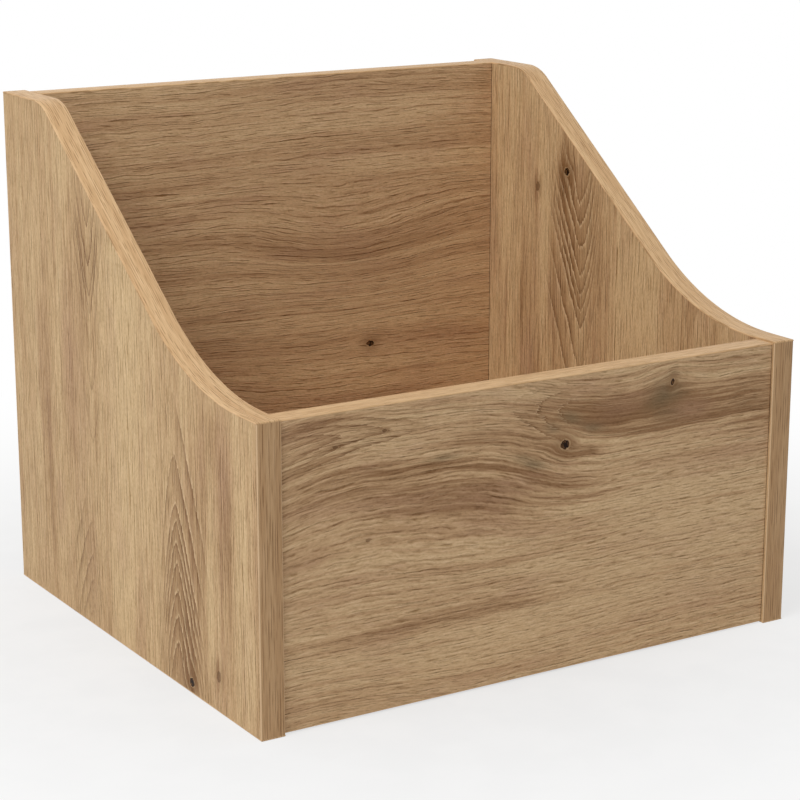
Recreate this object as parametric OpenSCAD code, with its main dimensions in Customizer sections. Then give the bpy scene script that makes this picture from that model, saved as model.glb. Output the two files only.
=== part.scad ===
// Record storage stand for 12-inch records: an open box of five boards with edge
// bands. Two side boards with a curved top edge carry a low front board, a high
// back board and a bottom board, held by cam fittings and dowels that don't show
// on the outer faces.
// X runs from left to right, Y from front to back and Z up. The origin lies on the
// floor, under the middle of the stand. All sizes are in millimetres.

/* [Stand] */
// Width over the outer faces of the side boards
stand_w = 370; // [320:5:500]
// Depth of the side boards
stand_d = 330; // [290:5:450]
// Height of the side boards at the back
stand_h = 320; // [280:5:420]
// Height of the side boards at the front
front_h = 180; // [150:5:220]

/* [Side board outline] */
// Length of the level top edge at the back
top_flat = 48; // [20:1:80]
// Radius of the round crest where the level top ends
crest_r = 35; // [10:1:60]
// Radius of the hollow between the slope and the level front
hollow_r = 177; // [80:1:210]
// Length of the level edge at the front
front_flat = 21; // [5:1:40]

/* [Boards] */
// Thickness of each board
board_t = 15; // [14:1:19]
// Thickness of the edge bands
band_t = 1; // [0.4:0.1:2]
// How far the front board stands behind the side boards' front edges
front_setback = 2; // [0:0.5:8]
// How far the back board stands in from the side boards' back edges
back_setback = 8; // [1:0.5:20]
// How far the front board's top lies below the side boards' front height
front_drop = 1; // [0:0.5:10]
// Gap between the floor and the front and back boards
board_lift = 1; // [0.5:0.5:3]
// Gap between the floor and the bottom board
bottom_lift = 1.5; // [1:0.5:6]

/* [Joint spacing] */
// Distance between the two dowels at each end of the front board
front_dowel_span = 100; // [60:2:110]
// Distance between the two cam fittings at each end of the back board
back_cam_span = 200; // [120:2:230]
// Distance between the two cam fittings at each end of the bottom board
bottom_cam_span = 170; // [120:2:200]
// Distance from a cam fitting to the dowel beside it
dowel_step = 32; // [16:1:40]
// Distance between the two dowels in the bottom board's front and back edges
edge_dowel_span = 170; // [80:2:200]

/* [Dowels] */
// Diameter of a dowel
dowel_d = 8; // [5:1:9]
// Length of a dowel
dowel_l = 30; // [24:1:40]
// How deep a dowel stands in a board's face
dowel_face_depth = 10; // [7:0.5:12]
// Chamfer at both ends of a dowel
dowel_chamfer = 1; // [0.5:0.5:2]
// Clearance round a dowel
dowel_play = 0.1; // [0.05:0.05:0.3]
// Free depth past each end of a dowel
dowel_end_play = 0.5; // [0.2:0.1:1]

/* [Cam locks] */
// Distance from a board's end to the axis of its cam locks
cam_reach = 34; // [24:1:45]
// Diameter of a cam lock's bore
cam_bore_d = 15; // [13:1:20]
// Thickness of the board left under a cam lock's bore
cam_bore_floor = 2.5; // [1.5:0.5:3]
// Clearance round a cam lock
cam_play = 0.1; // [0.05:0.05:0.3]
// Free depth under a cam lock
cam_end_play = 0.5; // [0.2:0.1:0.8]
// Length of the cross recess that turns a cam lock
drive_l = 7; // [5:0.5:9]
// Width of each arm of the cross recess
drive_w = 2; // [1.5:0.1:2.5]
// Depth of the cross recess
drive_depth = 2.5; // [1.5:0.5:3]

/* [Cam bolts] */
// Diameter of a bolt's thread
thread_d = 5; // [4:0.5:6]
// Length of a bolt's thread in the side board
thread_l = 11; // [8:0.5:12]
// Distance from one thread crest to the next
thread_pitch = 2.2; // [1.5:0.1:3]
// Depth of the thread
thread_depth = 0.6; // [0.3:0.1:0.8]
// Clearance round the thread
thread_play = 0.05; // [0.05:0.05:0.2]
// Free depth past the thread's tip
thread_end_play = 0.5; // [0.2:0.1:1]
// Diameter of the collar that stops on the side board
collar_d = 7.6; // [7:0.2:8.4]
// Thickness of the collar
collar_t = 1.4; // [1:0.2:2]
// Diameter of a bolt's shank
shank_d = 5; // [4.5:0.5:6]
// Diameter of the neck behind a bolt's head
neck_d = 3.6; // [3:0.2:4]
// Length of the neck
neck_l = 6; // [5:0.5:8]
// Diameter of a bolt's head
head_d = 6.8; // [6:0.2:7.2]
// Length of a bolt's head
head_l = 4; // [3:0.5:5]
// Clearance round a bolt where it passes through a board or a cam lock
bolt_play = 0.3; // [0.2:0.05:0.5]

/* [Cam caps] */
// Diameter of a cap's flange
cap_d = 17.5; // [16:0.5:22]
// Thickness of a cap's flange
cap_t = 0.8; // [0.5:0.1:1.5]
// Length of the cross stub that holds a cap in a cam lock
cap_stub_l = 2; // [1:0.5:2.5]
// Clearance round the cross stub
cap_play = 0.1; // [0.05:0.05:0.2]

/* [Hidden] */

oak = [0.73, 0.61, 0.46];
oak_band = [0.78, 0.65, 0.48];
beech = [0.83, 0.69, 0.50];
zinc = [0.70, 0.71, 0.72];
steel = [0.62, 0.63, 0.65];
cap_tan = [0.70, 0.58, 0.43];

$fn = 64;
// Facets of the crest's and the hollow's circles
arc_fn = 360;
// How far the slope's ends run into the crest and the hollow, so that they cross
arc_bite = 0.002;
// How far the crest's sector turns past the slope, in degrees
past_angle = 10;
// How far a cutter runs past the face that it opens
overcut = 1;

half_w = stand_w / 2;
half_d = stand_d / 2;
// The side boards' inner faces, where the other boards end
inner_x = half_w - board_t;
// The faces of the front and the back board
front_outer_y = -half_d + front_setback;
front_inner_y = front_outer_y + board_t;
back_outer_y = half_d - back_setback;
back_inner_y = back_outer_y - board_t;
front_top_z = front_h - front_drop;

// The middle of each board, where its dowels and bolts lie
front_mid_y = (front_outer_y + front_inner_y) / 2;
front_mid_z = (board_lift + front_top_z) / 2;
back_mid_y = (back_inner_y + back_outer_y) / 2;
back_mid_z = (board_lift + stand_h) / 2;
bottom_mid_y = (front_inner_y + back_inner_y) / 2;
bottom_mid_z = bottom_lift + board_t / 2;

// Places of the joints on a side board's inner face, as [y, z]
front_cams = [[front_mid_y, front_mid_z]];
front_pins = [for (side = [-1, 1]) [front_mid_y, front_mid_z + side * front_dowel_span / 2]];
back_cams = [for (side = [-1, 1]) [back_mid_y, back_mid_z + side * back_cam_span / 2]];
back_pins = [for (side = [-1, 1])
    [back_mid_y, back_mid_z + side * (back_cam_span / 2 - dowel_step)]];
bottom_cams = [for (side = [-1, 1]) [bottom_mid_y + side * bottom_cam_span / 2, bottom_mid_z]];
bottom_pins = [for (side = [-1, 1])
    [bottom_mid_y + side * (bottom_cam_span / 2 - dowel_step), bottom_mid_z]];

// Bores, each made to its fastener with its clearance
dowel_bore_d = dowel_d + 2 * dowel_play;
dowel_face_bore = dowel_face_depth + dowel_end_play;
dowel_edge_bore = dowel_l - dowel_face_depth + dowel_end_play;
thread_bore_d = thread_d + 2 * thread_play;
thread_bore = thread_l + thread_end_play;
bolt_bore_d = collar_d + 2 * bolt_play;
cam_bore = board_t - cam_bore_floor;

// Cam lock: its own size, and the room for the bolt's head at the board's middle
cam_h = cam_bore - cam_end_play;
cam_d = cam_bore_d - 2 * cam_play;
cam_mid = board_t / 2;
head_room_d = head_d + 2 * bolt_play;
head_turn_d = norm([head_d, head_l]) + 2 * bolt_play;
neck_room = neck_d + 2 * bolt_play;

// Side outline: the slope is the line that touches both the crest and the hollow
crest_c = [half_d - top_flat, stand_h - crest_r];
hollow_c = [-half_d + front_flat, front_h + hollow_r];
arc_span = crest_c - hollow_c;
slope = atan2(arc_span.y, arc_span.x) + asin((crest_r + hollow_r) / norm(arc_span));
slope_up = [-sin(slope), cos(slope)];
past_slope = [-sin(slope + past_angle), cos(slope + past_angle)];

// ---------- Outline of the side boards ----------

// The outline in the Y-Z plane, drawn in by top_inset along the curved top edge and
// by rim_inset along the straight front, back and bottom edges
module side_outline(top_inset, rim_inset) {
    crest = crest_r - top_inset;
    hollow = hollow_r + top_inset;
    front = -half_d + rim_inset;
    back = half_d - rim_inset;
    difference() {
        union() {
            polygon([
                [front, rim_inset],
                [back, rim_inset],
                [back, stand_h - top_inset],
                [crest_c.x, stand_h - top_inset],
                crest_c + (crest - arc_bite) * slope_up,
                hollow_c - (hollow - arc_bite) * slope_up,
                [hollow_c.x, front_h - top_inset],
                [front, front_h - top_inset]
            ]);
            intersection() {
                translate(crest_c) circle(r = crest, $fn = arc_fn);
                polygon([
                    crest_c,
                    crest_c + [0, 2 * crest],
                    crest_c + 2 * crest * past_slope
                ]);
            }
        }
        translate(hollow_c) circle(r = hollow, $fn = arc_fn);
    }
}

// A shape of the Y-Z plane as a right-hand board, from its inner to its outer face
module as_right_side() {
    translate([inner_x, 0, 0])
        rotate([90, 0, 90])
            linear_extrude(board_t) children();
}

// ---------- Placing ----------

// The right-hand copy of something and its mirror image on the left
module both_ends() {
    children();
    mirror([1, 0, 0]) children();
}

// A bore that opens at z = 0 and runs down
module bore(d, depth) {
    translate([0, 0, -depth]) cylinder(d = d, h = depth + overcut);
}

// A bore that opens at z = 0 and runs up
module bore_up(d, depth) {
    mirror([0, 0, 1]) bore(d, depth);
}

// On the right side board's inner face, with +Z pointing into the stand
module on_side_face(places) {
    for (place = places)
        translate([inner_x, place.x, place.y])
            rotate([0, -90, 0]) children();
}

// Over the cam locks of both ends, with +Z out of the face at face_y and +X at the side board
module on_upright_cams(face_y, places) {
    for (end = [1, -1], place = places)
        translate([end * (inner_x - cam_reach), face_y, place.y])
            rotate([-90, end > 0 ? 0 : 180, 0]) children();
}

// The same under the bottom board
module on_bottom_cams() {
    for (end = [1, -1], place = bottom_cams)
        translate([end * (inner_x - cam_reach), place.x, bottom_lift])
            rotate([180, 0, end > 0 ? 0 : 180]) children();
}

// At the bottom board's front and back edge, with +Z pointing into the bottom board
module on_bottom_edges() {
    for (side = [-1, 1]) {
        translate([side * edge_dowel_span / 2, front_inner_y, bottom_mid_z])
            rotate([-90, 0, 0]) children();
        translate([side * edge_dowel_span / 2, back_inner_y, bottom_mid_z])
            rotate([90, 0, 0]) children();
    }
}

// ---------- Boards ----------

module right_side_board() {
    color(oak)
        difference() {
            as_right_side() side_outline(band_t, band_t);
            on_side_face(concat(front_cams, back_cams, bottom_cams))
                bore(thread_bore_d, thread_bore);
            on_side_face(concat(front_pins, back_pins, bottom_pins))
                bore(dowel_bore_d, dowel_face_bore);
        }
}

module left_side_board() {
    mirror([1, 0, 0]) right_side_board();
}

// A board between the side boards, from its lowest y and z to its highest
module cross_board(low, high) {
    translate([-inner_x, low.x, low.y])
        cube([2 * inner_x, high.x - low.x, high.y - low.y]);
}

// Bolt bores and dowel bores in both ends of a cross board
module end_bores(cams, pins) {
    both_ends() {
        on_side_face(cams) bore_up(bolt_bore_d, cam_reach);
        on_side_face(pins) bore_up(dowel_bore_d, dowel_edge_bore);
    }
}

module front_board() {
    color(oak)
        difference() {
            cross_board([front_outer_y, board_lift + band_t], [front_inner_y, front_top_z - band_t]);
            end_bores(front_cams, front_pins);
            on_upright_cams(front_inner_y, front_cams) bore(cam_bore_d, cam_bore);
            on_bottom_edges() bore(dowel_bore_d, dowel_face_bore);
        }
}

module back_board() {
    color(oak)
        difference() {
            cross_board([back_inner_y, board_lift + band_t], [back_outer_y, stand_h - band_t]);
            end_bores(back_cams, back_pins);
            on_upright_cams(back_outer_y, back_cams) bore(cam_bore_d, cam_bore);
            on_bottom_edges() bore(dowel_bore_d, dowel_face_bore);
        }
}

module bottom_board() {
    color(oak)
        difference() {
            cross_board([front_inner_y, bottom_lift], [back_inner_y, bottom_lift + board_t]);
            end_bores(bottom_cams, bottom_pins);
            on_bottom_cams() bore(cam_bore_d, cam_bore);
            on_bottom_edges() bore_up(dowel_bore_d, dowel_edge_bore);
        }
}

// ---------- Edge bands ----------

// Along the level top, the crest, the slope, the hollow and the level front
module right_side_top_band() {
    color(oak_band)
        as_right_side()
            difference() {
                side_outline(0, 0);
                side_outline(band_t, -overcut);
            }
}

// A straight band on a side board, between two corners of the Y-Z plane
module right_side_straight_band(low, high) {
    color(oak_band)
        as_right_side()
            translate(low) square(high - low);
}

module right_side_front_band() {
    right_side_straight_band([-half_d, band_t], [-half_d + band_t, front_h - band_t]);
}

module right_side_back_band() {
    right_side_straight_band([half_d - band_t, band_t], [half_d, stand_h - band_t]);
}

module right_side_bottom_band() {
    right_side_straight_band([-half_d, 0], [half_d, band_t]);
}

module left_side_top_band() {
    mirror([1, 0, 0]) right_side_top_band();
}

module left_side_front_band() {
    mirror([1, 0, 0]) right_side_front_band();
}

module left_side_back_band() {
    mirror([1, 0, 0]) right_side_back_band();
}

module left_side_bottom_band() {
    mirror([1, 0, 0]) right_side_bottom_band();
}

module front_board_top_band() {
    color(oak_band)
        cross_board([front_outer_y, front_top_z - band_t], [front_inner_y, front_top_z]);
}

module front_board_bottom_band() {
    color(oak_band)
        cross_board([front_outer_y, board_lift], [front_inner_y, board_lift + band_t]);
}

module back_board_top_band() {
    color(oak_band)
        cross_board([back_inner_y, stand_h - band_t], [back_outer_y, stand_h]);
}

module back_board_bottom_band() {
    color(oak_band)
        cross_board([back_inner_y, board_lift], [back_outer_y, board_lift + band_t]);
}

// ---------- Fasteners ----------

// A dowel across a joint at z = 0, with its longer part above it
module dowel() {
    r = dowel_d / 2;
    top = dowel_l - dowel_face_depth;
    color(beech)
        rotate_extrude()
            polygon([
                [0, -dowel_face_depth],
                [r - dowel_chamfer, -dowel_face_depth],
                [r, -dowel_face_depth + dowel_chamfer],
                [r, top - dowel_chamfer],
                [r - dowel_chamfer, top],
                [0, top]
            ]);
}

// A cam bolt: its thread below z = 0, its collar on it and its head at the cam lock's axis
module cam_bolt() {
    root_r = thread_d / 2 - thread_depth;
    turns = floor(thread_l / thread_pitch);
    thread_top = -thread_l + turns * thread_pitch;
    crests = [for (turn = [0 : turns - 1]) each [
        [root_r, -thread_l + turn * thread_pitch],
        [thread_d / 2, -thread_l + (turn + 0.5) * thread_pitch]
    ]];
    head_low = cam_reach - head_l / 2;
    head_high = cam_reach + head_l / 2;
    // Slant at both ends of the head
    head_slant = (head_d - neck_d) / 4;
    color(steel)
        rotate_extrude()
            polygon(concat(
                [[0, -thread_l]],
                crests,
                [
                    [root_r, thread_top],
                    [root_r, 0],
                    [collar_d / 2, 0],
                    [collar_d / 2, collar_t],
                    [shank_d / 2, collar_t],
                    [shank_d / 2, head_low - neck_l],
                    [neck_d / 2, head_low - neck_l],
                    [neck_d / 2, head_low],
                    [head_d / 2, head_low + head_slant],
                    [head_d / 2, head_high - head_slant],
                    [neck_d / 2, head_high],
                    [0, head_high]
                ]
            ));
}

// Two crossed bars that run down from z = 0
module cross_bars(length, width, depth) {
    for (turn = [0, 90])
        rotate(turn)
            translate([-length / 2, -width / 2, -depth])
                cube([length, width, depth]);
}

// A cam lock with its turning face at z = 0, shut round a bolt that comes from +X
module cam_lock() {
    slot_half = neck_room / 2;
    color(zinc)
        difference() {
            translate([0, 0, -cam_h]) cylinder(d = cam_d, h = cam_h);
            // Room for the bolt's head
            translate([0, 0, -cam_mid])
                cylinder(d = head_turn_d, h = head_room_d, center = true);
            // Slot for the bolt's neck, half way round the wall
            translate([-cam_d, -cam_d, -cam_mid - slot_half])
                cube([2 * cam_d, cam_d + slot_half, neck_room]);
            // Mouth that the head comes in by when the lock is open
            translate([0, 0, -cam_mid])
                rotate([0, -90, 0]) cylinder(d = head_room_d, h = cam_d);
            translate([0, 0, overcut]) cross_bars(drive_l, drive_w, drive_depth + overcut);
        }
}

// A cap on a cam lock: a flange on the board's face and a cross stub in the lock
module cam_cap() {
    r = cap_d / 2;
    color(cap_tan)
        union() {
            rotate_extrude()
                polygon([
                    [0, 0],
                    [r, 0],
                    [r, cap_t / 2],
                    [r - cap_t / 2, cap_t],
                    [0, cap_t]
                ]);
            cross_bars(drive_l - 2 * cap_play, drive_w - 2 * cap_play, cap_stub_l);
        }
}

module front_cam_bolts() {
    both_ends() on_side_face(front_cams) cam_bolt();
}

module back_cam_bolts() {
    both_ends() on_side_face(back_cams) cam_bolt();
}

module bottom_cam_bolts() {
    both_ends() on_side_face(bottom_cams) cam_bolt();
}

module front_cam_locks() {
    on_upright_cams(front_inner_y, front_cams) cam_lock();
}

module back_cam_locks() {
    on_upright_cams(back_outer_y, back_cams) cam_lock();
}

module bottom_cam_locks() {
    on_bottom_cams() cam_lock();
}

module front_cam_caps() {
    on_upright_cams(front_inner_y, front_cams) cam_cap();
}

module back_cam_caps() {
    on_upright_cams(back_outer_y, back_cams) cam_cap();
}

module front_dowels() {
    both_ends() on_side_face(front_pins) dowel();
}

module back_dowels() {
    both_ends() on_side_face(back_pins) dowel();
}

module bottom_dowels() {
    both_ends() on_side_face(bottom_pins) dowel();
}

module bottom_edge_dowels() {
    on_bottom_edges() dowel();
}

left_side_board();
right_side_board();
front_board();
back_board();
bottom_board();
left_side_top_band();
left_side_front_band();
left_side_back_band();
left_side_bottom_band();
right_side_top_band();
right_side_front_band();
right_side_back_band();
right_side_bottom_band();
front_board_top_band();
front_board_bottom_band();
back_board_top_band();
back_board_bottom_band();
front_cam_bolts();
back_cam_bolts();
bottom_cam_bolts();
front_cam_locks();
back_cam_locks();
bottom_cam_locks();
front_cam_caps();
back_cam_caps();
front_dowels();
back_dowels();
bottom_dowels();
bottom_edge_dowels();
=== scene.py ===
"""Looks of the record storage stand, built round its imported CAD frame.

The frame gives the five boards, the cam fittings and the dowels, which keep their shapes and get
their finishes here. The edge bands and the lock caps are meshes of their own, which stand for the
CAD's plain ones. Lengths are in metres, in the frame of the CAD: X runs from left to right, Y from
front to back and Z up. The sizes inside the finishes are in millimetres.
"""

import logging
import math
from collections.abc import Callable, Sequence
from dataclasses import dataclass, replace
from enum import Enum
from typing import Any

import bmesh
import bpy
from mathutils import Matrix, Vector


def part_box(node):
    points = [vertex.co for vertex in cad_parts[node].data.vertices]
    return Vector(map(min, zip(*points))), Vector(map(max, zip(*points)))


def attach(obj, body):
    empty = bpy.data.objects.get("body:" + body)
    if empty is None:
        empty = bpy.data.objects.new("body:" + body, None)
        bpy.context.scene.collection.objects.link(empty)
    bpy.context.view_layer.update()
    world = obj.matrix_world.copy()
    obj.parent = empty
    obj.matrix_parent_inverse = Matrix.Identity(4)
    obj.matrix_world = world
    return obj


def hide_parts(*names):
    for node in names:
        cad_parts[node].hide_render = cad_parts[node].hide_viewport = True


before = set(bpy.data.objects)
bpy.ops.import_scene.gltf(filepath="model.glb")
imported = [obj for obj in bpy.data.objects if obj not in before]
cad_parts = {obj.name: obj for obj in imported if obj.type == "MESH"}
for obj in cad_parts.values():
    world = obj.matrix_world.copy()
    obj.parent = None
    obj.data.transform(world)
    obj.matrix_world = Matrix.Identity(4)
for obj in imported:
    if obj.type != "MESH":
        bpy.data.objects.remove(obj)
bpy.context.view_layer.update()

BODY = "root"
MM = 1000.0
# Reach of a spot through the layers, so that it shows on whatever layer the point has
EVERY_LAYER = 1e6
# A distance, or a factor on one, that is larger than any on the stand
FAR = 1000.0

log = logging.getLogger("record_stand")

Colour = tuple[float, float, float]
Material = bpy.types.Material


def linear(value: int) -> float:
    """Turn a part of a colour as a screen shows it, 0 to 255, into the one that a shader takes."""
    share = value / 255.0
    return share / 12.92 if share <= 0.04045 else ((share + 0.055) / 1.055) ** 2.4


def shade(red: int, green: int, blue: int) -> Colour:
    """Turn a colour as a screen shows it into the one that a shader takes."""
    return (linear(red), linear(green), linear(blue))


WHITE = (1.0, 1.0, 1.0)
# What pores make of the colour below them, and what painted highlights and light flecks make of it, by
# channel
SHADOW = (0.48, 0.4, 0.3)
HIGHLIGHT_AND_FLECK_TINT = (1.3, 1.36, 1.52)


# ---------- Shader maths ----------


def math_method(operation: str, turned: bool = False) -> Callable[..., "Wire"]:
    """Make a method that adds one Math node.

    Args:
        operation: Blender's name of what the node does.
        turned: Whether the other value comes before the own one.

    Returns:
        The method, which gives the node's result.
    """

    def method(self: "Wire", *others: "Wire | float") -> "Wire":
        """Add the node and give its result."""
        terms = (*others, self) if turned else (self, *others)
        return self.recipe.node("Math", {"operation": operation}, dict(enumerate(terms)))

    return method


@dataclass(frozen=True)
class Wire:
    """One socket of a recipe's node tree, used in arithmetic as if it were a number."""

    recipe: "Recipe"
    socket: bpy.types.NodeSocket

    __add__ = math_method("ADD")
    __radd__ = math_method("ADD", True)
    __sub__ = math_method("SUBTRACT")
    __rsub__ = math_method("SUBTRACT", True)
    __mul__ = math_method("MULTIPLY")
    __rmul__ = math_method("MULTIPLY", True)
    __truediv__ = math_method("DIVIDE")
    __pow__ = math_method("POWER")
    __abs__ = math_method("ABSOLUTE")
    # 1 where the value is above a limit, else 0
    over = math_method("GREATER_THAN")
    # The whole number at or below the value
    whole = math_method("FLOOR")
    # The greater and the smaller of two values
    most = math_method("MAXIMUM")
    least = math_method("MINIMUM")

    def ease(self, low: float, high: float, start: float = 0.0, end: float = 1.0) -> "Wire":
        """Map low..high to start..end with soft ends, and hold the ends outside."""
        inputs = {"Value": self, "From Min": low, "From Max": high, "To Min": start, "To Max": end}
        return self.recipe.node("MapRange", {"interpolation_type": "SMOOTHSTEP"}, inputs)


@dataclass(frozen=True)
class Spot:
    """A soft oval on a board's face, in millimetres along and across the grain."""

    along: float
    across: float
    half_length: float
    half_width: float
    strength: float = 1.0
    turn: float = 0.0

    def moved(self, along: float, across: float) -> "Spot":
        """Give the spot in another place."""
        return replace(self, along=self.along + along, across=self.across + across)

    def grown(self, length: float, width: float) -> "Spot":
        """Give the spot in another size, by factors on its length and its width."""
        return replace(self, half_length=self.half_length * length, half_width=self.half_width * width)


def ovals(*rows: tuple[float, ...]) -> tuple[Spot, ...]:
    """Make spots, each of a row with its fields in their order."""
    return tuple(Spot(*row) for row in rows)


class Recipe:
    """The node tree of one material, or of the world."""

    def __init__(self, owner: Material | bpy.types.World) -> None:
        """Start an empty node tree.

        Args:
            owner: The material or the world that the tree belongs to.
        """
        self.owner = owner
        owner.use_nodes = True
        self.tree = owner.node_tree
        self.tree.nodes.clear()

    def node(
        self,
        kind: str,
        settings: dict[str, Any] | None = None,
        inputs: dict[int | str, Any] | None = None,
        output: int | str = 0,
    ) -> Wire:
        """Add one node.

        Args:
            kind: Blender's type name of the node, after ShaderNode.
            settings: Properties of the node, set before its sockets.
            inputs: Values or wires by the name or number of their sockets.
            output: Name or number of the output socket to hand back.

        Returns:
            The chosen output, or the first input of a node that has none.
        """
        made = self.tree.nodes.new(f"ShaderNode{kind}")
        for key, value in (settings or {}).items():
            setattr(made, key, value)
        for key, value in (inputs or {}).items():
            if isinstance(value, Wire):
                self.tree.links.new(value.socket, made.inputs[key])
            elif isinstance(value, tuple) and made.inputs[key].type == "RGBA":
                made.inputs[key].default_value = (*value, 1.0)
            else:
                made.inputs[key].default_value = value
        return Wire(self, made.outputs[output] if made.outputs else made.inputs[0])

    def place(self) -> Wire:
        """Give the point on the object in millimetres."""
        return self.times(self.node("TexCoord", output="Object"), (MM, MM, MM))

    def split(self, point: Wire) -> tuple[Wire, ...]:
        """Give the three parts of a vector."""
        first = self.node("SeparateXYZ", None, {0: point})
        return tuple(Wire(self, part) for part in first.socket.node.outputs)

    def join(self, first: Wire | float, second: Wire | float, third: Wire | float) -> Wire:
        """Make a vector of three values."""
        return self.node("CombineXYZ", None, {0: first, 1: second, 2: third})

    def times(self, vector: Wire, factors: Wire | tuple[float, ...]) -> Wire:
        """Multiply a vector or a colour part by part."""
        return self.node("VectorMath", {"operation": "MULTIPLY"}, {0: vector, 1: factors})

    def grain(self, point: Wire, size: Sequence[float], detail: float = 2.0, rough: float = 0.5) -> Wire:
        """Add a noise with cells of a given size.

        Args:
            point: Place on the board, in millimetres.
            size: Size of a cell along each of the three directions, in millimetres.
            detail: How many finer layers the noise has.
            rough: How strong the finer layers are.

        Returns:
            The noise, about 0.25 to 0.75.
        """
        scaled = self.times(point, tuple(1.0 / cell for cell in size))
        inputs = {"Vector": scaled, "Scale": 1.0, "Detail": detail, "Roughness": rough}
        return self.node("TexNoise", {"noise_dimensions": "3D"}, inputs)

    def spot(self, point: Wire, spot: Spot) -> Wire:
        """Draw a spot that fades towards its rim.

        Args:
            point: Place on the face.
            spot: The spot.

        Returns:
            1 in its middle and 0 outside.
        """
        inputs = {
            "Vector": point,
            "Location": (spot.along, spot.across, 0.0),
            "Rotation": (0.0, 0.0, math.radians(spot.turn)),
            "Scale": (spot.half_length, spot.half_width, EVERY_LAYER),
        }
        local = self.node("Mapping", {"vector_type": "TEXTURE"}, inputs)
        ball = self.node("TexGradient", {"gradient_type": "SPHERICAL"}, {0: local}, "Fac")
        return ball.ease(0.0, 1.0)

    def spots(self, point: Wire, spots: Sequence[Spot]) -> Wire | float:
        """Give the sum of several spots, each times its strength."""
        return sum((self.spot(point, spot) * spot.strength for spot in spots), 0.0)

    def strokes(
        self, across: Wire, gap: float, width: float, noise: Callable[[Wire], Wire]
    ) -> tuple[Wire, Wire]:
        """Draw lines at even gaps, each of them broken in its own places.

        Args:
            across: Place across the lines, in millimetres.
            gap: From one line to the next.
            width: Width of a line.
            noise: Gives the noise that breaks the lines, from a number that differs by line.

        Returns:
            The dark lines and the painted highlights on their low side, each 0 to 1.
        """
        lane = across * (1.0 / gap)
        row = lane.whole()
        shown = noise(row * 5.7).ease(0.45, 0.6)
        away = lane - row - 0.5
        half = width / (2.0 * gap)
        dark = abs(away).ease(half * 1.3, half * 0.4) * shown
        # Painted highlight on the low side of each line, as if the pressed groove's wall caught the light
        light = abs(away + half * 2.2).ease(half * 1.3, half * 0.4) * shown
        return dark, light

    def blend(self, low: Wire | Colour, high: Wire | Colour, factor: Wire | float) -> Wire:
        """Mix two colours: low at factor 0 and high at factor 1."""
        settings = {"data_type": "RGBA", "clamp_factor": True}
        return self.node("Mix", settings, {0: factor, 6: low, 7: high}, 2)

    def toned(self, colour: Wire, dark: Wire | float, light: Wire | float) -> Wire:
        """Darken a colour as pores do and lighten it with painted highlights and light flecks, by shares
        of 0 to 1.
        """
        pores, highlights_and_flecks = self.blend(WHITE, SHADOW, dark), self.blend(WHITE, HIGHLIGHT_AND_FLECK_TINT, light)
        return self.times(self.times(colour, pores), highlights_and_flecks)

    def groove(self, height: Wire, depth: float) -> Wire:
        """Turn a height of 0 to 1 into a normal, with a depth in millimetres."""
        inputs = {"Height": height, "Distance": depth / MM, "Strength": 1.0}
        return self.node("Bump", None, inputs, "Normal")

    def surface(
        self, colour: Wire, rough: Wire, normal: Wire, metal: float = 0.0, gloss: float = 0.5
    ) -> Material:
        """Close the recipe with a Principled shader and give the material."""
        inputs = {"Base Color": colour, "Roughness": rough, "Normal": normal, "Metallic": metal}
        return self.close(self.node("BsdfPrincipled", None, {**inputs, "Specular IOR Level": gloss}))

    def close(self, shader: Wire) -> Material:
        """Join a shader to the material's output and give the material."""
        self.node("OutputMaterial", None, {"Surface": shader})
        return self.owner


def finish_recipe(name: str) -> Recipe:
    """Start the recipe of a new material."""
    return Recipe(bpy.data.materials.new(name))


# ---------- Finishes ----------


class Grain(Enum):
    """How a board lies: the axis along its grain, the one across it and the one through it."""

    UPRIGHT = ("Z", "Y", "X")
    LEVEL = ("X", "Z", "Y")
    FLAT = ("X", "Y", "Z")


PALE = shade(221, 189, 143)
MIDDLE = shade(202, 166, 123)
BROWN = shade(159, 122, 84)
UMBER = shade(124, 86, 50)
ROSE = shade(192, 152, 120)
MOSS = shade(124, 106, 76)
# Painted shade in the joints where the cross boards meet the sides
JOINT_SHADE = shade(84, 60, 40)
GLINT = shade(232, 201, 158)
HEART = shade(30, 14, 3)
# Chipboard: the tints between which its chips lie, and the dark dust between them
CHIPS = (shade(176, 142, 98), shade(214, 184, 138))
DUST = shade(118, 88, 60)
# Painted tint of the warmer light in the shade, by channel
SHADE_TINT = (1.0, 0.96, 1.05)
# Step between the layers of a board's two faces, which gives each of them its own noises
FACE_STEP = 37.0
# How far a knot parts the grain and darkens it, as factors on its length and its width
PARTED = (5.0, 3.5)
HALO = (3.0, 3.0)
# Sizes in which the pressed lines are drawn over each other
THREAD_SIZES = (1.0, 1.7)


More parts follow.
